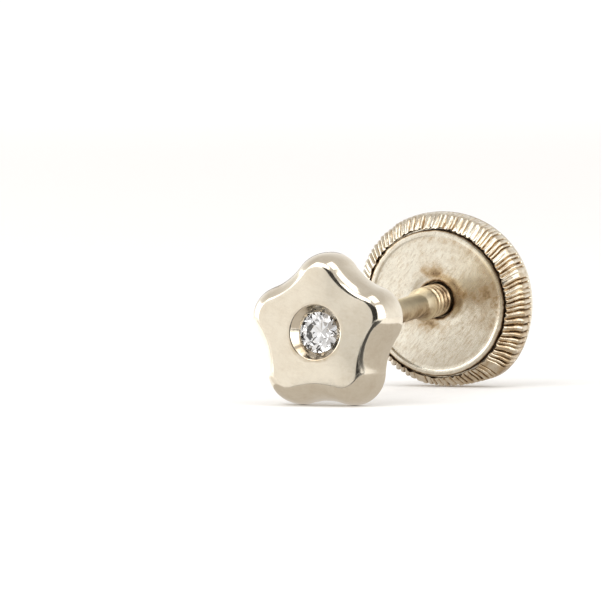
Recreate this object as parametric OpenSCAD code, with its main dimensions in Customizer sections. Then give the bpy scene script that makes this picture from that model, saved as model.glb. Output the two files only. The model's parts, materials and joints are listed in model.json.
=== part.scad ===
// Screw back stud earring: a small five-petal flower with a sunken round stone,
// a post soldered to its back, and a ribbed disc that screws onto the post.
// It is drawn standing on its screw back, with the flower on top: +z runs up the
// post, z = 0 is the front of the disc, and +y is the top petal.
// Then it is laid down as it rests by itself, on two petals and the disc's rim.

/* [Flower] */
// Distance from the centre of the flower to a petal's tip
petal_reach = 2.62; // [2.4:0.01:2.8]
// Radius of a petal's round end
petal_r = 1.07; // [1.02:0.01:1.15]
// Radius of the hollow between two petals
notch_r = 2.1; // [1.8:0.05:2.6]
// Thickness of the flower
flower_t = 1.22; // [1.15:0.01:1.4]
// Width of the rounded edge of the face, seen from the front
edge_w = 0.56; // [0.4:0.01:0.7]
// Depth over which that edge runs out into the side wall
edge_t = 1.15; // [0.8:0.01:1.15]
// Small break of the edge at the back
back_edge = 0.05; // [0.02:0.01:0.08]
// Angle by which the flower looks up from its post
lean = 8.4; // [0:0.1:10]

/* [Stone] */
// Diameter of the stone
stone_d = 1.33; // [1.2:0.01:1.4]
// Depth of the stone's widest part under the face of the flower
stone_sink = 0.28; // [0.24:0.01:0.32]
// Diameter of the table as a share of the stone's diameter
table_share = 0.57; // [0.5:0.01:0.65]
// Radius of the sunken seat at the face
seat_r = 0.89; // [0.8:0.01:0.95]

/* [Post] */
// Diameter of the smooth wire that goes through the ear
wire_d = 0.8; // [0.7:0.01:0.9]
// Diameter over the thread
thread_d = 1.1; // [1:0.01:1.12]
// Travel of the screw back in one turn
pitch = 0.28; // [0.25:0.01:0.3]
// Depth of the thread
thread_depth = 0.07; // [0.04:0.01:0.09]
// Distance from the front of the disc to the face of the flower, before it leans
face_to_disc = 9.74; // [8:0.01:11]
// Length of thread in front of the disc
thread_out = 1.1; // [0.8:0.01:1.5]
// Length of the cone from the wire up to the thread
thread_cone = 0.4; // [0.2:0.01:0.5]
// Length of the post inside the screw back
post_in = 0.76; // [0.7:0.01:0.78]

/* [Screw back] */
// Radius over the ribs of the rim
rim_r = 3; // [2.9:0.01:3.2]
// Radius of the seam between the front plate and the rim
seam_r = 2.53; // [2.45:0.01:2.55]
// Depth of the rim's sloping front
bevel_t = 0.42; // [0.35:0.01:0.5]
// Depth of the rim, without the rounded back
rim_t = 1.13; // [1.05:0.01:1.2]
// Height of the back's dome
dome_h = 0.25; // [0.15:0.01:0.4]
// Number of ribs round the rim
ribs = 84; // [60:1:96]
// Depth of the ribs
rib_depth = 0.07; // [0.03:0.01:0.09]
// Radius of the hole in the front plate
hole_r = 0.62; // [0.6:0.01:0.64]
// Thickness of the front plate
plate_t = 0.22; // [0.18:0.01:0.24]
// Height of the plate's raised border
border_h = 0.03; // [0.02:0.01:0.05]
// Outer radius of the threaded bush inside
bush_r = 0.85; // [0.8:0.01:0.9]

/* [Hidden] */
$fn = 96;

pale_gold = [0.9, 0.84, 0.71];
deep_gold = [0.78, 0.68, 0.5];
clear = [0.86, 0.88, 0.9];

petals = 5;
petal_step = 360 / petals;
// Steps along a petal's end, along the hollow between two, and round the edge
end_steps = 12;
notch_steps = 6;
round_steps = 7;
// Gap between pieces that are pressed or set together, and of pieces that turn
seat_gap = 0.03;
run_gap = 0.03;
play = 0.05;
// Amount by which a cutter passes the face that it cuts
past = 0.2;

petal_centre = petal_reach - petal_r;
notch_centre = petal_centre * cos(petal_step / 2)
    + sqrt(pow(petal_r + notch_r, 2) - pow(petal_centre * sin(petal_step / 2), 2));
// Half of the angle that a petal's end turns through, and of a hollow
end_half = atan2(notch_centre * sin(petal_step / 2),
    notch_centre * cos(petal_step / 2) - petal_centre);
notch_half = end_half - petal_step / 2;

stone_r = stone_d / 2;
crown_angle = 34.5;
pavilion_angle = 41;
girdle_t = 0.03;
table_r = stone_r * table_share;
star_r = stone_r * 0.8;
lower_r = stone_r * 0.26;
seat_cone_t = stone_sink - girdle_t;
// Small well under the stone's point
culet_gap = 0.06;
culet_well_r = 0.1;

wire_r = wire_d / 2;
thread_r = thread_d / 2;
root_r = thread_r - thread_depth;
flower_back = face_to_disc - flower_t;
tip_chamfer = 0.1;
// Shares of the pitch at which a ridge's crest ends, its root starts and its root ends
crest_end = 0.3;
root_start = 0.6;
root_end = 0.7;
ridge_start = thread_out - thread_depth;
thread_turns = floor((ridge_start + post_in - tip_chamfer) / pitch);

plate_r = seam_r - play;
border_w = 0.24;
border_slope = 0.06;
dish_r = 0.95;
dish_t = 0.05;
lip_w = 0.05;
lip_slope = 0.06;
// Wall inside the rim, whose end carries the front plate
wall_r = 2.6;
wall_in = 2.35;
cup_floor = 1.08;
socket_wall = 0.25;
socket_t = 0.45;
// Smooth band behind the ribs
band_r = rim_r - 0.015;
band_t = 0.18;
back_round = 0.13;
dome_edge = band_r - back_round;
dome_steps = 8;
dome_r = (pow(dome_edge, 2) + pow(dome_h, 2)) / (2 * dome_h);
rib_seed = 7;
rib_step = 360 / ribs;
// Largest shift of a rib's edge as a share of half a step, and least share of the depth
rib_shift = 0.22;
rib_least = 0.5;
// Share of a rib's depth where it fades out, and where it meets the lip
rib_fade = 0.3;
rib_lip = 0.8;
// Fall of the rim at the corner of its sloping front, and at the foot of the ribs
corner_fall = 0.035;
foot_fall = 0.06;
foot_t = 0.03;
// Depth to which pieces of one solid are sunk into each other
sunk = 0.05;

// The part lies on the back edge of the lower petals and on the rim. The line under
// both gives the tilt of the post and the height of the disc's centre.
corner_t = 0.08;
foot_reach = petal_centre * cos(petal_step / 2) + petal_r;
foot_drop = foot_reach * cos(lean) - back_edge * sin(lean);
foot_z = flower_back + foot_reach * sin(lean) + back_edge * cos(lean);
rest_corner = bevel_t + corner_t;
tilt = atan2(rim_r - foot_drop, foot_z + rest_corner);
disc_height = rim_r * cos(tilt) - rest_corner * sin(tilt);
// Half-way between the foremost point of the face and the rearmost of the dome
face_front = flower_back * cos(tilt) + flower_t * cos(lean - tilt)
    + (foot_reach - edge_w) * sin(lean - tilt);
dome_back = dome_r + (rim_t + dome_h - dome_r) * cos(tilt);
disc_y = (face_front - dome_back) / 2;

// A point at radius r and angle a, at height z
function polar(r, a, z) = [r * cos(a), r * sin(a), z];

// Faces between rings of n points, each ring above the last, and two closing fans
// whose centre points are the last two in the list
function ring_faces(n, rings) = concat(
    [for (k = [0 : rings - 2], i = [0 : n - 1])
        [k * n + i, (k + 1) * n + i, (k + 1) * n + (i + 1) % n]],
    [for (k = [0 : rings - 2], i = [0 : n - 1])
        [k * n + i, (k + 1) * n + (i + 1) % n, k * n + (i + 1) % n]],
    [for (i = [0 : n - 1]) [n * rings, i, (i + 1) % n]],
    [for (i = [0 : n - 1])
        [n * rings + 1, (rings - 1) * n + (i + 1) % n, (rings - 1) * n + i]]
);

// Faces of a closed hoop: the last ring of n points is joined to the first
function hoop_faces(n, rings) = [
    for (k = [0 : rings - 1], i = [0 : n - 1])
        let (next = ((k + 1) % rings) * n, j = (i + 1) % n)
            each [[k * n + i, next + i, next + j], [k * n + i, next + j, k * n + j]]
];

// The outline of the flower, moved in by inset: round ends and hollows that are arcs
// round fixed centres, so they stay tangent at any inset
function flower_ring(inset, z) = [
    for (k = [0 : petals - 1]) let (dir = 90 + k * petal_step)
        each concat(
            [for (i = [0 : end_steps])
                polar(petal_centre, dir, z)
                + polar(petal_r - inset, dir - end_half + 2 * end_half * i / end_steps, 0)],
            [for (i = [1 : notch_steps - 1])
                polar(notch_centre, dir + petal_step / 2, z)
                + polar(notch_r + inset, dir + petal_step / 2 + 180
                    + notch_half - 2 * notch_half * i / notch_steps, 0)]
        )
];

// Puffed flower with rounded face, before the seat is cut, standing on its back
module flower_body() {
    n = petals * (end_steps + notch_steps);
    levels = concat(
        [[back_edge, 0], [0, back_edge]],
        [for (i = [0 : round_steps]) let (a = 90 * i / round_steps)
            [edge_w * (1 - cos(a)), flower_t - edge_t + edge_t * sin(a)]]
    );
    points = concat(
        [for (level = levels) each flower_ring(level[0], level[1])],
        [[0, 0, 0], [0, 0, flower_t]]
    );
    polyhedron(points, ring_faces(n, len(levels)), convexity = 4);
}

// Sets the flower, or what is drawn in its frame, on the end of the post
module on_post() {
    translate([0, 0, flower_back])
        rotate([-lean, 0, 0])
            children();
}

// Sunken seat: a flared wall from the face down to the stone, and a cone under it
module stone_seat() {
    top = flower_t;
    girdle = top - stone_sink;
    bore_r = stone_r + seat_gap;
    cone_t = stone_r * tan(pavilion_angle);
    rotate_extrude()
        polygon([
            [0, top + past],
            [seat_r, top + past],
            [seat_r, top],
            [bore_r, top - seat_cone_t],
            [bore_r, girdle - girdle_t - seat_gap],
            [culet_well_r, girdle - girdle_t - cone_t],
            [culet_well_r, girdle - girdle_t - cone_t - culet_gap],
            [0, girdle - girdle_t - cone_t - culet_gap]
        ]);
}

// Smooth wire, cone up to the thread, thread as a row of ridges, chamfered tip
module post() {
    ridges = [
        for (i = [0 : thread_turns - 1]) let (z = ridge_start - i * pitch)
            each [
                [thread_r, z],
                [thread_r, z - pitch * crest_end],
                [root_r, z - pitch * root_start],
                [root_r, z - pitch * root_end]
            ]
    ];
    rotate_extrude()
        polygon(concat(
            [[0, flower_back + past], [wire_r, flower_back + past]],
            [[wire_r, thread_out + thread_cone], [thread_r, thread_out]],
            ridges,
            [[thread_r, ridge_start - thread_turns * pitch]],
            [[thread_r - tip_chamfer, -post_in], [0, -post_in]]
        ));
}

// Flower and post are soldered into one piece
module flower_post() {
    color(pale_gold)
        lay_down()
            difference() {
                union() {
                    on_post()
                        flower_body();
                    post();
                }
                on_post()
                    stone_seat();
            }
}

// Round brilliant: table, stars, kites, split facets, girdle, and the cone under it
module stone() {
    n = 8;
    step = 360 / n;
    slope = tan(crown_angle);
    under = tan(pavilion_angle);
    girdle = flower_t - stone_sink;
    low = girdle - girdle_t;
    split = cos(step / 2);
    points = concat(
        [for (i = [0 : n - 1]) polar(table_r, i * step, girdle + (stone_r - table_r) * slope)],
        [for (i = [0 : n - 1])
            polar(star_r, (i + 0.5) * step, girdle + (stone_r - star_r * split) * slope)],
        [for (i = [0 : 2 * n - 1]) polar(stone_r, i * step / 2, girdle)],
        [for (i = [0 : 2 * n - 1]) polar(stone_r, i * step / 2, low)],
        [for (i = [0 : n - 1])
            polar(lower_r, (i + 0.5) * step, low - (stone_r - lower_r * split) * under)],
        [[0, 0, low - stone_r * under]]
    );
    star = n;
    top = 2 * n;
    bottom = 4 * n;
    lower = 6 * n;
    culet = 7 * n;
    faces = concat(
        [[for (i = [n - 1 : -1 : 0]) i]],
        [for (i = [0 : n - 1]) [i, (i + 1) % n, star + i]],
        [for (i = [0 : n - 1]) [i, star + i, top + 2 * i, star + (i + n - 1) % n]],
        [for (i = [0 : n - 1]) [star + i, top + 2 * i + 1, top + 2 * i]],
        [for (i = [0 : n - 1]) [star + i, top + (2 * i + 2) % (2 * n), top + 2 * i + 1]],
        [for (i = [0 : 2 * n - 1])
            [top + i, top + (i + 1) % (2 * n), bottom + (i + 1) % (2 * n), bottom + i]],
        [for (i = [0 : n - 1]) [bottom + 2 * i, bottom + 2 * i + 1, lower + i]],
        [for (i = [0 : n - 1]) [bottom + 2 * i + 1, bottom + (2 * i + 2) % (2 * n), lower + i]],
        [for (i = [0 : n - 1]) [bottom + 2 * i, lower + i, culet, lower + (i + n - 1) % n]]
    );
    color(clear)
        lay_down()
            on_post()
                polyhedron(points, faces);
}

// Front plate, crimped into the rim: raised border, flat ring, dish down to the hole
module back_plate() {
    border_in = plate_r - border_w;
    color(pale_gold)
        lay_down()
            rotate_extrude()
                polygon([
                    [hole_r, -plate_t],
                    [hole_r, -dish_t],
                    [dish_r, 0],
                    [border_in, 0],
                    [border_in + border_slope, border_h],
                    [plate_r - border_h, border_h],
                    [plate_r, 0],
                    [plate_r, -plate_t]
                ]);
}

// Ribbed hoop round the rim, folded over the edge of the plate. The ribs run down its
// sloping front and along its side, and none is quite like the next.
module ribbed_hoop() {
    n = 2 * ribs;
    jitter = rands(-rib_shift, rib_shift, n, rib_seed);
    depth = rands(rib_least, 1, n, rib_seed + 1);
    // Radius at a ridge, the share of the rib's depth there, and the height: up the
    // outside from the band, over the lip, and down the inside into the wall
    levels = [
        [rim_r - foot_fall, rib_fade, -rim_t + band_t - sunk],
        [rim_r, 1, -rim_t + band_t + foot_t],
        [rim_r, 1, -rest_corner],
        [rim_r - corner_fall, 1, -bevel_t],
        [seam_r + lip_w + lip_slope, rib_lip, -lip_w],
        [seam_r + lip_w, rib_fade, 0],
        [seam_r, 0, 0],
        [seam_r, 0, -plate_t - 2 * sunk],
        [wall_r - sunk, 0, -plate_t - 2 * sunk],
        [wall_r - sunk, 0, -rim_t + band_t - sunk]
    ];
    points = [for (level = levels, i = [0 : n - 1])
        polar(level[0] - (i % 2) * depth[i] * level[1] * rib_depth,
            (i + jitter[i]) * rib_step / 2, level[2])];
    polyhedron(points, hoop_faces(n, len(levels)), convexity = 4);
}

// Plain shell of the cup: the wall that carries the plate, the smooth band, the low
// dome of the back, and inside it the socket of the threaded bush
module cup_shell() {
    socket_r = bush_r + run_gap;
    band_top = -rim_t + band_t;
    rotate_extrude()
        polygon(concat(
            [
                [0, -cup_floor],
                [socket_r, -cup_floor],
                [socket_r, -cup_floor + socket_t],
                [socket_r + socket_wall, -cup_floor + socket_t],
                [socket_r + socket_wall, -cup_floor],
                [wall_in, -cup_floor],
                [wall_in, -plate_t],
                [wall_r, -plate_t],
                [wall_r, band_top],
                [band_r, band_top]
            ],
            [for (a = [0 : 30 : 90])
                [dome_edge + back_round * cos(a), -rim_t + back_round * (1 - sin(a))]],
            [for (i = [1 : dome_steps]) let (r = dome_edge * (1 - i / dome_steps))
                [r, -rim_t - dome_h + dome_r - sqrt(pow(dome_r, 2) - pow(r, 2))]]
        ));
}

// Ribbed cup, one stamped piece with its closed back
module back_cup() {
    color(deep_gold)
        lay_down()
            union() {
                ribbed_hoop();
                cup_shell();
            }
}

// Threaded bush, a plain bore that runs over the ridges of the thread
module back_bush() {
    front = -plate_t - play;
    back = -cup_floor + play;
    color(deep_gold)
        lay_down()
            translate([0, 0, back])
                difference() {
                    cylinder(h = front - back, r = bush_r);
                    translate([0, 0, -past])
                        cylinder(h = front - back + 2 * past, r = thread_r + run_gap);
                }
}

// From the drawn pose, flower up, to the pose at rest on the surface z = 0
module lay_down() {
    translate([0, disc_y, disc_height])
        rotate([90 + tilt, 0, 0])
            children();
}

flower_post();
stone();
back_plate();
back_cup();
back_bush();
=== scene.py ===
"""A screw back stud earring at rest on a pale floor: a small five-petal flower with a
sunken stone, a post with a threaded end, and a ribbed disc that screws onto it."""

import json
import math
import random

import bmesh
import bpy
from mathutils import Matrix, Vector


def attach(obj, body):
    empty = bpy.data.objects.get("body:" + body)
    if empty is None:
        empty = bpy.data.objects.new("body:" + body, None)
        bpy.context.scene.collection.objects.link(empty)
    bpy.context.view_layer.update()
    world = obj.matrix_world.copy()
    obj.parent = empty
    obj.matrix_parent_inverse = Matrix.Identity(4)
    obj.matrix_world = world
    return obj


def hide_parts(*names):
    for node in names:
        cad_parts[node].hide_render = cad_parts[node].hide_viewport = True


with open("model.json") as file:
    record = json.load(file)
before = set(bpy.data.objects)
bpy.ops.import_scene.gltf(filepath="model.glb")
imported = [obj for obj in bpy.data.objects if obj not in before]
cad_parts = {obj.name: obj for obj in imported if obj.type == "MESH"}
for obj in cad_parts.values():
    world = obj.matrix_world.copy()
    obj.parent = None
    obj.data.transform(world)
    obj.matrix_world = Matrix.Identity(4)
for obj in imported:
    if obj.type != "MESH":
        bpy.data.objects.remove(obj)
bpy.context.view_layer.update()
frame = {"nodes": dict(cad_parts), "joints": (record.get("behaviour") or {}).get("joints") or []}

# Camera. The stud is seen from in front and from its right, a little from above, with
# a long lens, so that the disc shows beside the flower.
lens_mm = 360.5
camera_away = 0.2
camera_yaw, camera_down, camera_roll = -24.82, 2.81, 0.70
aim = Vector((-0.003042, 0, 0.003301))

turned = (
    Matrix.Rotation(math.radians(-camera_yaw), 3, "Z")
    @ Matrix.Rotation(math.radians(90 - camera_down), 3, "X")
    @ Matrix.Rotation(math.radians(-camera_roll), 3, "Z")
)
camera_data = bpy.data.cameras.new("camera")
camera_data.lens = lens_mm
camera_data.clip_start, camera_data.clip_end = 0.01, 10
camera = bpy.data.objects.new("camera", camera_data)
camera.rotation_euler = turned.to_euler()
camera.location = aim + turned @ Vector((0, 0, camera_away))
bpy.context.scene.collection.objects.link(camera)
bpy.context.scene.camera = camera

# Flower. Cast in pale gold and polished: five puffed petals whose face rolls over into
# a short side wall. It is drawn in millimetres, face up and on its back, set on the end
# of the post with the small lean that wear has given it, and laid down with the stud.
petals = 5
petal_reach, petal_r, notch_r = 2.62, 1.07, 2.1
back_at, flower_t, lean = 8.52, 1.22, 8.4
edge_w, edge_t, back_edge = 0.56, 1.15, 0.05
petal_steps, notch_steps, edge_steps, dome_steps, smoothings = 28, 14, 22, 8, 12
dome_rise = 0.045
seat_r, lip_w = 0.89, 0.03

turn = next(j for j in frame["joints"] if j["name"] == "nut_turn")
disc_centre = Vector(turn["pos_m"])
to_flower = -Vector(turn["axis"]).normalized()
flower_up = to_flower.cross(Vector((1, 0, 0)))
lay_down = Matrix.Translation(disc_centre) @ Matrix(
    (Vector((1, 0, 0)), flower_up, to_flower)
).transposed().to_4x4() @ Matrix.Scale(0.001, 4)


def polar(r, degrees, z=0.0):
    """A point at radius r and that angle round the post."""
    a = math.radians(degrees)
    return Vector((r * math.cos(a), r * math.sin(a), z))


def only(kind, geom):
    """The vertices, the edges or the faces among what an operator gives back."""
    return [g for g in geom if isinstance(g, kind)]


def sweep(bm, verts, centre, degrees, steps, merge=False):
    """Spins the vertices and the edges between them about an axis along the post."""
    edges = {e for v in verts for e in v.link_edges if e.other_vert(v) in verts}
    last = bmesh.ops.spin(
        bm, geom=list(verts) + list(edges), cent=centre, axis=(0, 0, 1),
        angle=math.radians(degrees), steps=steps, use_merge=merge,
    )["geom_last"]
    return only(bmesh.types.BMVert, last)


def turned_profile(bm, points, steps):
    """Spins a line of (radius, height) points all the way round the post."""
    line = [bm.verts.new((r, 0, z)) for r, z in points]
    for a, b in zip(line, line[1:]):
        bm.edges.new((a, b))
    sweep(bm, line, (0, 0, 0), 360, steps, merge=True)
    bmesh.ops.remove_doubles(bm, verts=bm.verts, dist=1e-6)


def finish_piece(bm, name, material, body, sharp, nodes=()):
    """Lays the drawn piece down and makes it an object that rides on a body. Edges
    sharper than that many degrees stay crisp."""
    bmesh.ops.recalc_face_normals(bm, faces=bm.faces)
    bmesh.ops.transform(bm, matrix=lay_down, verts=bm.verts)
    for face in bm.faces:
        face.smooth = True
    for edge in bm.edges:
        if len(edge.link_faces) == 2 and edge.calc_face_angle(0) > math.radians(sharp):
            edge.smooth = False
    mesh = bpy.data.meshes.new(name)
    bm.to_mesh(mesh)
    bm.free()
    mesh.materials.append(material)
    piece = bpy.data.objects.new(name, mesh)
    bpy.context.scene.collection.objects.link(piece)
    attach(piece, body)
    if nodes:
        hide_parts(*nodes)


def plain_material(name, values):
    """A material and its shader, with plain values set on the shader."""
    material = bpy.data.materials.new(name)
    material.use_nodes = True
    shader = material.node_tree.nodes["Principled BSDF"]
    for key, value in values.items():
        shader.inputs[key].default_value = value
    return material, shader


def spread(tree, source, low, high, least, most):
    """A node's value, which runs from low to high, spread from least to most."""
    made = tree.nodes.new("ShaderNodeMapRange")
    ends = {"From Min": low, "From Max": high, "To Min": least, "To Max": most}
    for key, value in ends.items():
        made.inputs[key].default_value = value
    tree.links.new(source, made.inputs["Value"])
    return made.outputs["Result"]


def gold(
    name, colour, roughness, haze, mottle, streak, wave, wave_mm, scratch, brushed, grain=1.9
):
    """Worn polished gold. Blots, streaks and the attribute that holds a piece's dirt and its
    painted shade brown it, and dull it by haze. Waves that are wave high and wave_mm apart,
    and scratches that are scratch deep and turned by brushed degrees, leave it uneven. All
    lengths are in millimetres."""
    material, shader = plain_material(name, {"Metallic": 1})
    tree = material.node_tree
    brown, tan_tone = (0.13, 0.075, 0.04), (0.52, 0.39, 0.24)
    line_scale, line_stretch = 12, 0.25

    def node(kind, links=(), **values):
        made = tree.nodes.new(kind)
        for key, value in values.items():
            if key in made.inputs:
                made.inputs[key].default_value = value
            else:
                setattr(made, key, value)
        for source, target in links:
            tree.links.new(source, made.inputs[target])
        return made

    place = node("ShaderNodeTexCoord").outputs["Object"]
    in_mm = node("ShaderNodeVectorMath", [(place, 0)], operation="SCALE")
    in_mm.inputs["Scale"].default_value = 1000
    mm = in_mm.outputs[0]
    waves = node("ShaderNodeTexNoise", [(mm, "Vector")], Scale=1 / wave_mm, Detail=2)
    blot = node("ShaderNodeTexNoise", [(mm, "Vector")], Scale=grain, Detail=7, Roughness=0.7)
    along = node("ShaderNodeMapping", [(mm, "Vector")], vector_type="TEXTURE")
    along.inputs["Rotation"].default_value = (0, math.radians(brushed), 0)
    drawn_out = node("ShaderNodeVectorMath", [(along.outputs[0], 0)], operation="MULTIPLY")
    drawn_out.inputs[1].default_value = (line_stretch, 1, 1)
    lines = node(
        "ShaderNodeTexNoise", [(drawn_out.outputs[0], "Vector")],
        Scale=line_scale, Detail=5, Roughness=0.75,
    )
    # The attribute read here holds each piece's dirt and its painted shade.
    dirt_and_shade = node("ShaderNodeAttribute", attribute_name="dirt_and_shade")
    blots = spread(tree, blot.outputs["Fac"], 0.42, 0.66, 0, mottle)
    streaks = spread(tree, lines.outputs["Fac"], 0.5, 0.7, 0, streak)
    uneven = spread(tree, blot.outputs["Fac"], 0.38, 0.62, 0.5, 1.5)
    patchy_dirt_and_shade = node("ShaderNodeMath", [(dirt_and_shade.outputs["Fac"], 0), (uneven, 1)], operation="MULTIPLY")
    worn = node("ShaderNodeMath", [(blots, 0), (streaks, 1)], operation="ADD")
    dull = node(
        "ShaderNodeMath", [(worn.outputs[0], 0), (patchy_dirt_and_shade.outputs[0], 1)],
        operation="ADD", use_clamp=True,
    )
    tint = node("ShaderNodeValToRGB", [(dull.outputs[0], "Fac")])
    tint.color_ramp.elements[0].color = (*colour, 1)
    tint.color_ramp.elements[1].color = (*brown, 1)
    tan = tint.color_ramp.elements.new(0.5)
    tan.color = (*tan_tone, 1)
    rough = spread(tree, dull.outputs[0], 0, 1, roughness, roughness + haze)
    slow = node(
        "ShaderNodeBump", [(waves.outputs["Fac"], "Height")],
        Strength=1.0, Distance=wave * 0.001,
    )
    fine = node(
        "ShaderNodeBump",
        [(lines.outputs["Fac"], "Height"), (slow.outputs["Normal"], "Normal")],
        Strength=1.0, Distance=scratch * 0.001,
    )
    tree.links.new(tint.outputs["Color"], shader.inputs["Base Color"])
    tree.links.new(rough, shader.inputs["Roughness"])
    tree.links.new(fine.outputs["Normal"], shader.inputs["Normal"])
    return material


petal_centre = petal_reach - petal_r
half_step = math.radians(180 / petals)
notch_centre = petal_centre * math.cos(half_step) + math.sqrt(
    (petal_r + notch_r) ** 2 - (petal_centre * math.sin(half_step)) ** 2
)
petal_half = math.degrees(
    math.atan2(
        notch_centre * math.sin(half_step),
        notch_centre * math.cos(half_step) - petal_centre,
    )
)
notch_half = petal_half - 180 / petals

flower = bmesh.new()
start = flower.verts.new(polar(petal_centre, 90, back_edge) + polar(petal_r, 90 - petal_half))
last = [start]
for k in range(petals):
    toward = 90 + k * 360 / petals
    last = sweep(flower, last, polar(petal_centre, toward), 2 * petal_half, petal_steps)
    hollow = polar(notch_centre, toward + 180 / petals)
    last = sweep(flower, last, hollow, -2 * notch_half, notch_steps)
bmesh.ops.remove_doubles(flower, verts=flower.verts, dist=1e-4)
face = bmesh.ops.contextual_create(flower, geom=flower.edges[:])["faces"][0]
bmesh.ops.recalc_face_normals(flower, faces=[face])
if face.normal.z < 0:
    face.normal_flip()
raised = bmesh.ops.extrude_face_region(flower, geom=[face], use_keep_orig=True)["geom"]
top = only(bmesh.types.BMFace, raised)[0]
bmesh.ops.translate(
    flower, verts=top.verts, vec=(0, 0, flower_t - back_edge - edge_t)
)
face.normal_flip()
bmesh.ops.inset_individual(
    flower, faces=[face], thickness=back_edge, depth=back_edge, use_even_offset=True
)
if top.normal.z < 0:
    top.normal_flip()
for k in range(edge_steps):
    a, b = (math.radians(90 * (k + i) / edge_steps) for i in (0, 1))
    bmesh.ops.inset_individual(
        flower, faces=[top], use_even_offset=True,
        thickness=edge_w * (math.cos(a) - math.cos(b)),
        depth=edge_t * (math.sin(b) - math.sin(a)),
    )
ring = list(top.edges)
flat_at = top.calc_center_median().z
bmesh.ops.delete(flower, geom=[top], context="FACES_ONLY")
around = petals * (petal_steps + notch_steps)
lip_at = flat_at + dome_rise
circle = bmesh.ops.create_circle(
    flower, segments=around, radius=seat_r + lip_w, matrix=Matrix.Translation((0, 0, lip_at))
)
lip = list({e for v in circle["verts"] for e in v.link_edges})
spokes = bmesh.ops.bridge_loops(flower, edges=ring + lip)["edges"]
cross = [e for e in spokes if e not in ring and e not in lip]
bmesh.ops.subdivide_edges(flower, edges=cross, cuts=dome_steps, use_grid_fill=True)
inner = [
    v for v in flower.verts
    if flat_at - 1e-4 < v.co.z and not any(e in ring or e in lip for e in v.link_edges)
    and v.co.to_2d().length > seat_r + 0.035
]
for _ in range(smoothings):
    bmesh.ops.smooth_vert(
        flower, verts=inner, factor=0.5, use_axis_x=False, use_axis_y=False, use_axis_z=True
    )

# Sunken seat: a rounded lip, and a sloping wall down to the collar that was pushed over
# the stone's girdle.
girdle_r, stone_sink, seat_gap, lip_r = 0.665, 0.28, 0.03, 0.06
slope_at, lip_steps = 50, 7
seat_line = []
for k in range(1, lip_steps + 1):
    a = math.radians(slope_at * k / lip_steps)
    seat_line.append((seat_r + lip_w - lip_r * math.sin(a), lip_at - lip_r * (1 - math.cos(a))))
collar_at = flower_t - stone_sink + 0.03
seat_line += [
    (girdle_r + 0.05, collar_at + 0.055), (girdle_r + 0.015, collar_at + 0.025),
    (girdle_r - 0.005, collar_at), (girdle_r - 0.005, collar_at - 0.015),
    (girdle_r + seat_gap, flower_t - stone_sink - 0.07),
    (0.1, flower_t - stone_sink - 0.63), (0.0, flower_t - stone_sink - 0.68),
]
rim = list(lip)
for r, z in seat_line:
    grown = bmesh.ops.extrude_edge_only(flower, edges=rim)["geom"]
    for v in only(bmesh.types.BMVert, grown):
        out = v.co.to_2d().normalized() * r
        v.co = (out.x, out.y, z)
    rim = only(bmesh.types.BMEdge, grown)
bmesh.ops.remove_doubles(flower, verts=flower.verts, dist=1e-5)

# Painted shade in the seat, deeper on its lower side, and one painted dark reflection on the
# rolled edge
seat_shade, lower_seat_shade = 0.07, 0.2
mark_way, mark_wide, mark_top, mark_fade, mark_strength = 138, 6, 1.12, 0.3, 0.45
flower_shade = flower.verts.layers.float.new("dirt_and_shade")
for v in flower.verts:
    r = v.co.to_2d().length
    if r < seat_r + 0.035 and v.co.z > 0.1:
        v[flower_shade] = seat_shade - lower_seat_shade * min(0, v.co.y) / r if r > 0 else seat_shade
    elif v.co.z > 0.15:
        off_mark = math.degrees(math.atan2(v.co.y, v.co.x)) - mark_way
        outer = min(1, max(0, (mark_top - v.co.z) / mark_fade))
        v[flower_shade] = mark_strength * outer * math.exp(-((off_mark / mark_wide) ** 2))
on_post = Matrix.Translation((0, 0, back_at)) @ Matrix.Rotation(math.radians(-lean), 4, "X")
bmesh.ops.transform(flower, matrix=on_post, verts=flower.verts)
flower_metal = gold(
    "flower gold", colour=(0.86, 0.795, 0.67), roughness=0.12, haze=0.1, mottle=0.08,
    streak=0.05, wave=0.004, wave_mm=0.9, scratch=0.0006, brushed=20,
)
finish_piece(flower, "petal_flower", flower_metal, "stud", 35, ["flower_post"])

# Stone. A clear round brilliant, ground facet by facet: table, stars, kites and halves
# above the girdle, mains and halves below. It is held by the collar of the seat.
table_share, girdle_t = 0.57, 0.03
crown, upper_half, star, pavilion, lower_half = 34.5, 40.0, 22, 41.0, 42.3
sixteenth, stone_turn = 22.5, 0.31
girdle_at = flower_t - stone_sink


def grind(bm, point, normal):
    """Cuts away what lies outside a plane and closes the cut with a facet."""
    cut = bmesh.ops.bisect_plane(
        bm, geom=bm.verts[:] + bm.edges[:] + bm.faces[:], dist=1e-5,
        plane_co=point, plane_no=normal, clear_outer=True,
    )["geom_cut"]
    edges = only(bmesh.types.BMEdge, cut)
    if len(edges) > 2:
        bmesh.ops.contextual_create(bm, geom=edges)


def tilted(degrees, round_, side):
    """The normal of a facet that slopes by degrees and faces that way round."""
    return polar(math.sin(math.radians(degrees)), round_, side * math.cos(math.radians(degrees)))


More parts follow.
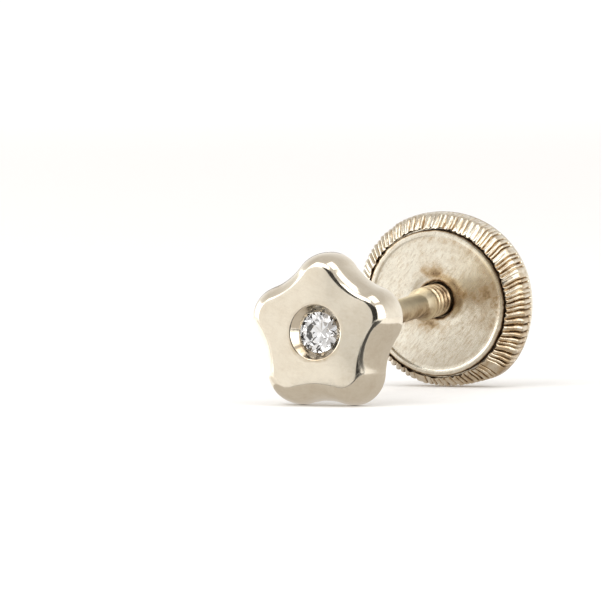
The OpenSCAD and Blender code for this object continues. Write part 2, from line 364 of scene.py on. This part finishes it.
stone = bmesh.new()
bmesh.ops.create_cone(
    stone, cap_ends=True, segments=96, radius1=girdle_r, radius2=girdle_r, depth=1.4,
    matrix=Matrix.Translation((0, 0, girdle_at - 0.3)),
)
table_at = girdle_at + (1 - table_share) * girdle_r * math.tan(math.radians(crown))
culet_at = girdle_at - girdle_t - girdle_r * math.tan(math.radians(pavilion))
half_r = girdle_r * 0.998
for k in range(16):
    way = k * sixteenth
    if k % 2 == 0:
        grind(stone, polar(girdle_r, way, girdle_at), tilted(crown, way, 1))
        grind(stone, (0, 0, culet_at), tilted(pavilion, way, -1))
    way = (k + 0.5) * sixteenth
    grind(stone, polar(half_r, way, girdle_at), tilted(upper_half, way, 1))
    grind(stone, polar(half_r, way, girdle_at - girdle_t), tilted(lower_half, way, -1))
grind(stone, (0, 0, table_at), (0, 0, 1))
star_r = girdle_r * table_share
for k in range(8):
    way = (2 * k + 1) * sixteenth
    corner = polar(star_r * math.cos(math.radians(sixteenth)), way, table_at)
    grind(stone, corner, tilted(star, way, 1))
turn_stone = Matrix.Rotation(stone_turn, 3, "Z")
bmesh.ops.rotate(stone, verts=stone.verts, cent=(0, 0, 0), matrix=turn_stone)
bmesh.ops.transform(stone, matrix=on_post, verts=stone.verts)
clear_glass, _ = plain_material("clear stone", {
    "Base Color": (0.95, 0.96, 0.98, 1), "Roughness": 0.0, "IOR": 2.15,
    "Transmission Weight": 1.0,
})
finish_piece(stone, "round_stone", clear_glass, "stud", 1, ["stone"])

# Post. Drawn wire, soldered to the back of the flower with a small fillet, with a cone up
# to a cut right-hand thread and a chamfered end.
wire_r, thread_r, thread_depth, pitch = 0.4, 0.55, 0.07, 0.28
thread_from, cone_t, post_end = 1.1, 0.4, -0.76
thread_around, thread_rise, groove_half = 96, 0.0175, 0.36
solder_r, solder_steps, lean_over = 0.16, 8, 0.6
fillet_r = wire_r + solder_r
post_line = [(0.0, back_at + 0.1), (fillet_r, back_at + 0.1), (fillet_r, back_at)]
for k in range(1, solder_steps + 1):
    a = math.radians(90 - 90 * k / solder_steps)
    post_line.append(
        (wire_r + solder_r * (1 - math.cos(a)), back_at - solder_r * (1 - math.sin(a)))
    )
post_line += [
    (wire_r, back_at - 2.5), (wire_r, back_at - 4.5), (wire_r, thread_from + cone_t + 0.02),
    (wire_r + 0.004, thread_from + cone_t), (thread_r, thread_from + 0.08),
]
thread_rows = round((thread_from - post_end - 0.08) / thread_rise)
post_line += [(thread_r, thread_from - k * thread_rise) for k in range(thread_rows)]
post_line += [(thread_r - 0.1, post_end), (0.0, post_end)]
post = bmesh.new()
turned_profile(post, post_line, thread_around)


def thread_cut(co):
    """Depth of the thread's groove at a point of the post's surface."""
    along = (co.z / pitch + math.atan2(co.y, co.x) / math.tau) % 1
    groove = max(0.0, 1 - abs(along - 0.5) / groove_half)
    fade_in = min(1, max(0, (thread_from + 0.03 - co.z) / 0.25))
    return thread_depth * min(1, 1.25 * groove) * fade_in


# Darker all along the wire and the thread and in the thread's grooves; painted shade along the
# wire's underside and towards the thread's end near the hole
wire_darkening, underside_shade, thread_darkening, groove_darkening, thread_end_shade = 0.22, 0.45, 0.08, 0.6, 0.3
post_darkening_and_shade = post.verts.layers.float.new("dirt_and_shade")
for v in post.verts:
    v[post_darkening_and_shade] = max(0, wire_darkening - underside_shade * v.co.y / wire_r)
    bent = max(0, v.co.z - back_at + lean_over) / lean_over
    v.co.z -= v.co.y * math.tan(math.radians(lean)) * min(1, bent)
    r = v.co.to_2d().length
    if r > thread_r - 1e-4 and v.co.z < thread_from + 0.09:
        v[post_darkening_and_shade] = thread_darkening + groove_darkening * thread_cut(v.co) / thread_depth
        v[post_darkening_and_shade] += thread_end_shade * min(1, max(0, (0.75 - v.co.z) / 0.4))
        keep = (thread_r - thread_cut(v.co)) / r
        v.co.x *= keep
        v.co.y *= keep
wire_metal = gold(
    "wire gold", colour=(1.0, 0.9, 0.67), roughness=0.28, haze=0.2, mottle=0.12,
    streak=0.12, wave=0.004, wave_mm=0.5, scratch=0.002, brushed=90,
)
finish_piece(post, "threaded_post", wire_metal, "stud", 40)

# Threaded bush inside the screw back, turned and soldered in. Only its front edge shows in the
# plate's hole, painted near black as painted shade in the hole, and it keeps its plain CAD form.
bush = frame["nodes"]["back_bush"]
bush_painted_dark = gold(
    "bush gold", colour=(0.16, 0.12, 0.08), roughness=0.4, haze=0.2, mottle=0.3,
    streak=0.3, wave=0.004, wave_mm=0.5, scratch=0.002, brushed=0,
)
bush.data.materials.clear()
bush.data.materials.append(bush_painted_dark)

# Ribbed cup. Stamped from thin sheet, with a low domed back and ribs coined across its
# sloping front and its side; its edge is crimped over the front plate in small bites.
# Wear has bent its rim out at the lower right and left the seam a little low.
rim_r, seam_r, rim_t, dome_h = 3.0, 2.53, 1.13, 0.25
back_round, wall_in, cup_floor = 0.13, 2.35, 1.08
round_steps, dome_rings = 6, 15
rib_depth, ribs, rib_cols, rib_sharp, rib_flat = 0.11, 96, 10, 2.4, 0.3
bite_out, bite_up = 0.045, 0.014
plate_t = 0.22
socket_in, socket_out, socket_t = 0.88, 1.13, 0.45
rng = random.Random(7)
worn_share = 0.06
rib_widths = [rng.uniform(0.62, 1.38) for _ in range(ribs)]
rib_sum = sum(rib_widths)
rib_edges, so_far = [], 0.0
for w in rib_widths:
    rib_edges.append(so_far / rib_sum)
    so_far += w
rib_edges.append(1.0)
rib_low = [
    rng.uniform(0.6, 1.15) if rng.random() > worn_share else 0.3 for _ in range(ribs + 1)
]
rib_slant = [rng.uniform(-0.35, 0.35) for _ in range(ribs + 1)]
rib_top = [rng.uniform(-0.5, 0.8) for _ in range(ribs)]
bite = [rng.uniform(-1, 1) for _ in range(ribs * 2)]

# Radius, height, share of the rib's depth, and share of the crimp's bites
dome_edge = rim_r - 0.015 - back_round
dome_r = (dome_edge ** 2 + dome_h ** 2) / (2 * dome_h)
cup_rows = [
    (wall_in, -plate_t - 0.02, 0, 0), (seam_r, -plate_t - 0.02, 0, 0),
    (seam_r, -0.06, 0, 0.6), (seam_r, -0.015, 0, 1),
    (seam_r + 0.012, 0.004, 0.1, 1), (seam_r + 0.035, 0.006, 0.3, 0.8),
    (seam_r + 0.07, -0.012, 0.7, 0.4), (seam_r + 0.12, -0.05, 0.9, 0.15),
    (seam_r + 0.2, -0.125, 1, 0), (seam_r + 0.28, -0.205, 1, 0),
    (seam_r + 0.36, -0.29, 1, 0), (rim_r - 0.055, -0.37, 1, 0),
    (rim_r - 0.022, -0.43, 1, 0), (rim_r - 0.003, -0.5, 1, 0),
    (rim_r, -0.6, 1, 0), (rim_r, -0.72, 1, 0), (rim_r, -0.84, 1, 0),
    (rim_r - 0.004, -0.9, 0.9, 0), (rim_r - 0.02, -0.93, 0.4, 0),
    (rim_r - 0.03, -0.95, 0, 0), (rim_r - 0.015, -0.975, 0, 0),
]
for k in range(round_steps + 1):
    a = math.radians(90 * k / round_steps)
    cup_rows.append(
        (dome_edge + back_round * math.cos(a), -rim_t + back_round * (1 - math.sin(a)), 0, 0)
    )
for k in range(1, dome_rings):
    r = dome_edge * (1 - k / dome_rings)
    cup_rows.append((r, -rim_t - dome_h + dome_r - math.sqrt(dome_r ** 2 - r ** 2), 0, 0))
cup_rows.append((0, -rim_t - dome_h, 0, 0))
inner_rows = [
    (0, -cup_floor), (socket_in, -cup_floor), (socket_in, -cup_floor + socket_t),
    (socket_out, -cup_floor + socket_t), (socket_out, -cup_floor), (wall_in, -cup_floor),
]
cup_line = inner_rows + [(r, z) for r, z, *_ in cup_rows]
cup = bmesh.new()
turned_profile(cup, cup_line, ribs * rib_cols)


def between(values, place):
    """Linear value at a place along a closed list."""
    k = int(place) % len(values)
    share = place - int(place)
    return values[k] * (1 - share) + values[(k + 1) % len(values)] * share


def rib_shape(round_, z):
    """Share of the rib's depth cut away at a turn from 0 to 1 and a height."""
    k = next(i for i, edge in enumerate(rib_edges[1:]) if round_ <= edge)
    lo, hi = rib_edges[k], rib_edges[k + 1]
    t = (round_ - lo) / (hi - lo)
    slant = rib_slant[k] * (z + 0.5) * 0.5
    t = min(1, max(0, t + slant * t * (1 - t) * 4))
    groove = abs(2 * t - 1) ** rib_sharp
    low = rib_low[k] if t < 0.5 else rib_low[k + 1]
    return groove * low + rib_flat * (1 - groove) * max(0, rib_top[k])


# Growth of the radius, middle, and width before and after the middle, of each bend
bends = ((0.24, -50, 18, 32), (0.08, 5, 40, 40), (-0.1, 85, 40, 40))
bend_from, bend_over = 2.6, 0.35


def bent_out(co):
    """Growth of the rim's radius at a point, where wear has bent it out or pushed it in."""
    way = math.degrees(math.atan2(co.y, co.x))
    grow = 0
    for far, at, before, after in bends:
        grow += far * math.exp(-(((way - at) / (after if way > at else before)) ** 2))
    return grow * min(1, max(0, (co.to_2d().length - bend_from) / bend_over))


# How low they lie, and the radii over which that grows from the hole and fades to the rim
low_by, low_from, low_over, low_to, low_fade = 0.11, 0.9, 0.7, 2.95, 0.35


def off_centre(co):
    """How far the seam and the plate, but not its hole, lie below the disc's middle."""
    r = co.to_2d().length
    inner_share = min(1, max(0, (r - low_from) / low_over))
    return low_by * inner_share * min(1, max(0, (low_to - r) / low_fade))


# Dirt and painted shade: a base of dirt, painted shade deepening towards the lower right, and
# brown patina more in the grooves than on the ribs
rim_dirt, lower_right_shade, right_way = 0.06, 0.26, 0.8
most_dirt, most_swing, groove_rise = 0.55, 0.3, 1.5
cup_dirt_and_shade = cup.verts.layers.float.new("dirt_and_shade")
shares = {(round(r, 3), round(z, 3)): rib_and_bite for r, z, *rib_and_bite in cup_rows}
for v in cup.verts:
    r = v.co.to_2d().length
    rib_share, bite_share = shares.get((round(r, 3), round(v.co.z, 3)), (0, 0))
    if not (rib_share or bite_share):
        continue
    round_ = (math.atan2(v.co.y, v.co.x) / math.tau) % 1
    groove = rib_shape(round_, v.co.z)
    cut = rib_depth * rib_share * groove
    facing = math.cos(math.tau * round_ + right_way)
    dirt_and_lower_right_shade = rim_dirt + lower_right_shade * max(0, facing)
    in_groove = min(most_dirt + most_swing * facing, groove_rise * groove - 0.5 + dirt_and_lower_right_shade)
    v[cup_dirt_and_shade] = rib_share * max(dirt_and_lower_right_shade, in_groove)
    # The seam is painted darkest, as painted shade in the crevice under the crimp.
    if r < seam_r + 0.02:
        v[cup_dirt_and_shade] = 1
    nip = between(bite, round_ * len(bite)) * bite_share
    grow = (r - cut + bite_out * max(nip, -0.4 * bite_share)) / r
    v.co.x *= grow
    v.co.y *= grow
    rough_edge = bite_up * nip * between(bite, round_ * len(bite) * 0.37)
    v.co.z += rough_edge - 0.3 * cut * (v.co.z > -0.4)
for v in cup.verts:
    grow = 1 + bent_out(v.co) / max(1, v.co.to_2d().length)
    v.co.x *= grow
    v.co.y *= grow
    if v.co.z > -0.3:
        v.co.y -= off_centre(v.co)
rim_metal = gold(
    "rim gold", colour=(0.86, 0.81, 0.69), roughness=0.15, haze=0.3, mottle=0.14,
    streak=0.25, wave=0.008, wave_mm=0.3, scratch=0.003, brushed=-50,
)
finish_piece(cup, "ribbed_cup", rim_metal, "disc", 50, ["back_cup"])

# Front plate. A thin disc with a rolled border, dished towards its hole, laid into the cup
# before the cup's edge is crimped. Handling has left it scratched and gently dented, and
# it sits a little low in the cup.
plate_r, hole_r, dish_r, dish_t = 2.48, 0.62, 0.95, 0.05
border_w, border_h = 0.24, 0.03
plate_line = [(hole_r, -plate_t), (hole_r, -dish_t - 0.03), (hole_r + 0.02, -dish_t)]
plate_line += [(hole_r + 0.1, -dish_t + 0.006), (hole_r + 0.2, -dish_t + 0.022)]
plate_line += [(dish_r - 0.04, -0.008), (dish_r + 0.08, -0.001)]
plate_line += [(dish_r + 0.2 + 0.11 * k, 0) for k in range(10)]
plate_line += [
    (plate_r - border_w, 0.0), (plate_r - border_w + 0.03, 0.008),
    (plate_r - border_w + 0.06, border_h * 0.8), (plate_r - 0.13, border_h),
    (plate_r - 0.06, border_h * 0.8), (plate_r - 0.015, border_h * 0.3),
    (plate_r, -0.02), (plate_r, -plate_t), (hole_r, -plate_t),
]
plate = bmesh.new()
turned_profile(plate, plate_line, 180)
plate_stains_and_shade = plate.verts.layers.float.new("dirt_and_shade")
# Middle, half width and half height, turn and strength of each patch: stains, with painted light
# among them. The patch at (-0.45, -0.74) is the wire's painted shadow, the one at (0.75, -0.1) a
# painted reflection beside the hole, and the one at (1.9, 0.0) painted shade on the right side.
stains_and_shade = [
    ((1.25, 0.22), (0.85, 0.28), 5, 0.2), ((1.72, 0.4), (0.25, 0.17), 0, 0.2),
    ((-0.05, 0.95), (0.42, 0.26), -10, 0.5), ((-0.45, -0.74), (0.55, 0.2), -8, 0.7),
    ((0.75, -0.1), (0.3, 0.5), 0, 0.04), ((1.9, 0.0), (0.5, 0.9), 0, 0.2),
]
# Distance and way from the middle, depth and half width of each dent
dents = [
    (2.1, 140, 0.012, 0.5), (1.5, 250, 0.008, 0.35), (1.7, 20, 0.008, 0.6), (1.2, 115, 0.01, 0.4),
]
# Darker just inside the rolled border, most at 40 degrees round from the plate's x axis.
border_darkening, border_way = 0.22, 40
for v in plate.verts:
    r, way = v.co.to_2d().length, math.degrees(math.atan2(v.co.y, v.co.x))
    # Painted shade at the plate's outer edge in the seam and round its hole.
    v[plate_stains_and_shade] = 1 if r > plate_r - 0.02 or r < hole_r + 0.03 else 0
    for (x, y), (wide, high), tip, strength in stains_and_shade:
        off = Matrix.Rotation(math.radians(-tip), 2) @ Vector((v.co.x - x, v.co.y - y))
        v[plate_stains_and_shade] += strength * math.exp(-((off.x / wide) ** 2) - (off.y / high) ** 2)
    if r < plate_r - border_w + 0.02:
        near_border = math.exp(-(((r - plate_r + border_w) / 0.16) ** 2))
        side = max(0, math.cos(math.radians(way - border_way)))
        v[plate_stains_and_shade] += border_darkening * near_border * side
    if v.co.z > -0.1:
        for far, toward, deep, wide in dents:
            gap = (v.co.to_2d() - polar(far, toward).to_2d()).length
            v.co.z -= deep * math.exp(-((gap / wide) ** 2))
    v.co.y -= off_centre(v.co)
plate_metal = gold(
    "plate gold", colour=(0.87, 0.83, 0.72), roughness=0.19, haze=0.3, mottle=0.13,
    streak=0.3, wave=0.012, wave_mm=0.8, scratch=0.004, brushed=-50, grain=3.2,
)
finish_piece(plate, "front_plate", plate_metal, "disc", 40, ["back_plate"])

# Floor and light. A pale floor that glows a little where it is far off, so that it meets
# the pale surround without a line. Large soft lights stand to the left, above the camera
# and to the right. Cards and sheets that only the metal and the stone show stand for what
# the room, the camera and its holder do to polished metal.
def sheet(name, wide, high, material):
    """A plain rectangle of one material."""
    mesh = bmesh.new()
    bmesh.ops.create_grid(mesh, x_segments=1, y_segments=1, size=0.5)
    bmesh.ops.scale(mesh, verts=mesh.verts, vec=(wide, high, 1))
    data = bpy.data.meshes.new(name)
    mesh.to_mesh(data)
    mesh.free()
    data.materials.append(material)
    return bpy.data.objects.new(name, data)


paper, paper_shader = plain_material("white paper", {
    "Base Color": (0.92, 0.92, 0.92, 1), "Roughness": 0.9, "Specular IOR Level": 0.1,
    "Emission Color": (1, 1, 1, 1),
})
paper_tree = paper.node_tree
paper_place = paper_tree.nodes.new("ShaderNodeTexCoord")
paper_far = paper_tree.nodes.new("ShaderNodeVectorMath")
paper_far.operation = "LENGTH"
paper_tree.links.new(paper_place.outputs["Object"], paper_far.inputs[0])
paper_glow = spread(paper_tree, paper_far.outputs["Value"], 0.06, 0.6, 0, 0.4)
paper_tree.links.new(paper_glow, paper_shader.inputs["Emission Strength"])
floor = sheet("floor", 3, 3, paper)
bpy.context.scene.collection.objects.link(floor)

world = bpy.data.worlds.new("pale surround")
world.use_nodes = True
sky = world.node_tree
sky_place = sky.nodes.new("ShaderNodeTexCoord")
sky_split = sky.nodes.new("ShaderNodeSeparateXYZ")
sky_ramp = sky.nodes.new("ShaderNodeValToRGB")
sky_ramp.color_ramp.elements[0].position = 0.25
sky_ramp.color_ramp.elements[0].color = (1.0, 0.99, 0.975, 1)
sky_ramp.color_ramp.elements[1].position = 0.75
sky_ramp.color_ramp.elements[1].color = (0.63, 0.6, 0.57, 1)
sky.nodes["Background"].inputs["Strength"].default_value = 1.05
sky.links.new(sky_place.outputs["Generated"], sky_split.inputs[0])
sky.links.new(sky_split.outputs["Z"], sky_ramp.inputs["Fac"])
sky.links.new(sky_ramp.outputs["Color"], sky.nodes["Background"].inputs["Color"])
bpy.context.scene.world = world


def stand(thing, round_, up, away):
    """Puts a light or a card that far away, round from the front and up, facing the stud."""
    a, e = math.radians(round_), math.radians(up)
    at = Vector((math.sin(a) * math.cos(e), -math.cos(a) * math.cos(e), math.sin(e))) * away
    thing.location = at
    thing.rotation_euler = (-at).to_track_quat("-Z", "Y").to_euler()
    bpy.context.scene.collection.objects.link(thing)


for name, round_, up, wide, high, glow in (
    ("window light", -78, 14, 0.40, 0.13, 1.8),
    ("light above the camera", -22, 47, 0.26, 0.24, 1.7),
    ("right light", 72, 24, 0.24, 0.24, 1.6),
    ("light above the stud", 75, 70, 0.17, 0.15, 1.6),
):
    data = bpy.data.lights.new(name, "AREA")
    data.shape = "RECTANGLE"
    data.size, data.size_y = wide, high
    data.energy = glow * math.pi * wide * high
    light = bpy.data.objects.new(name, data)
    light.visible_camera = False
    stand(light, round_, up, 0.3)


def card(name, wide, high, glow, tone=(1, 0.97, 0.93)):
    """A card of an even tone that shows only in the metal and the stone."""
    cloth, _ = plain_material(name, {
        "Base Color": (0, 0, 0, 1), "Roughness": 1,
        "Emission Color": (*tone, 1), "Emission Strength": glow,
    })
    made = sheet(name, wide, high, cloth)
    made.visible_camera = made.visible_diffuse = made.visible_shadow = False
    return made


def lay(thing, x, y, z, turned_by=0):
    """Lays a card on the floor, in millimetres."""
    thing.location = (x / 1000, y / 1000, z / 1000)
    thing.rotation_euler = (0, 0, math.radians(turned_by))
    bpy.context.scene.collection.objects.link(thing)


dark_card = card("dark card", 0.16, 0.16, 0.02)
dark_sheet = card("dark sheet", 0.034, 0.08, 0.03)
dark_card.visible_transmission = dark_sheet.visible_transmission = False
stand(dark_card, 13, 12, 0.15)
lens_card = card("lens card", 0.075, 0.075, 0.08)
lens_card.visible_glossy = False
stand(lens_card, 28, 0, 0.15)
stand(card("back card", 0.07, 0.06, 0.35), -155, 4, 0.15)
lay(dark_sheet, 13, -51, 0.03)
lay(card("cream sheet", 0.05, 0.1, 0.93), -24, -51, 0.01, -25)
# The tan sheet is painted shade: it stands for the shaded floor under the stud, as the metal
# shows it.
lay(card("tan sheet", 0.015, 0.018, 0.58, (1, 0.92, 0.83)), 4.5, -1.5, 0.02)
lay(card("white sheet", 0.05, 0.032, 1.5), -33, 4, 0.03)
fading = card("fading card", 0.075, 0.05, 1)
fade = fading.active_material.node_tree
fade_place = fade.nodes.new("ShaderNodeTexCoord")
fade_split = fade.nodes.new("ShaderNodeSeparateXYZ")
fade.links.new(fade_place.outputs["Object"], fade_split.inputs[0])
fade_glow = spread(fade, fade_split.outputs["X"], -0.005, 0.037, 0.98, 0.62)
fade.links.new(fade_glow, fade.nodes["Principled BSDF"].inputs["Emission Strength"])
stand(fading, -25, 4, 0.16)

bpy.context.scene.view_settings.view_transform = "Standard"
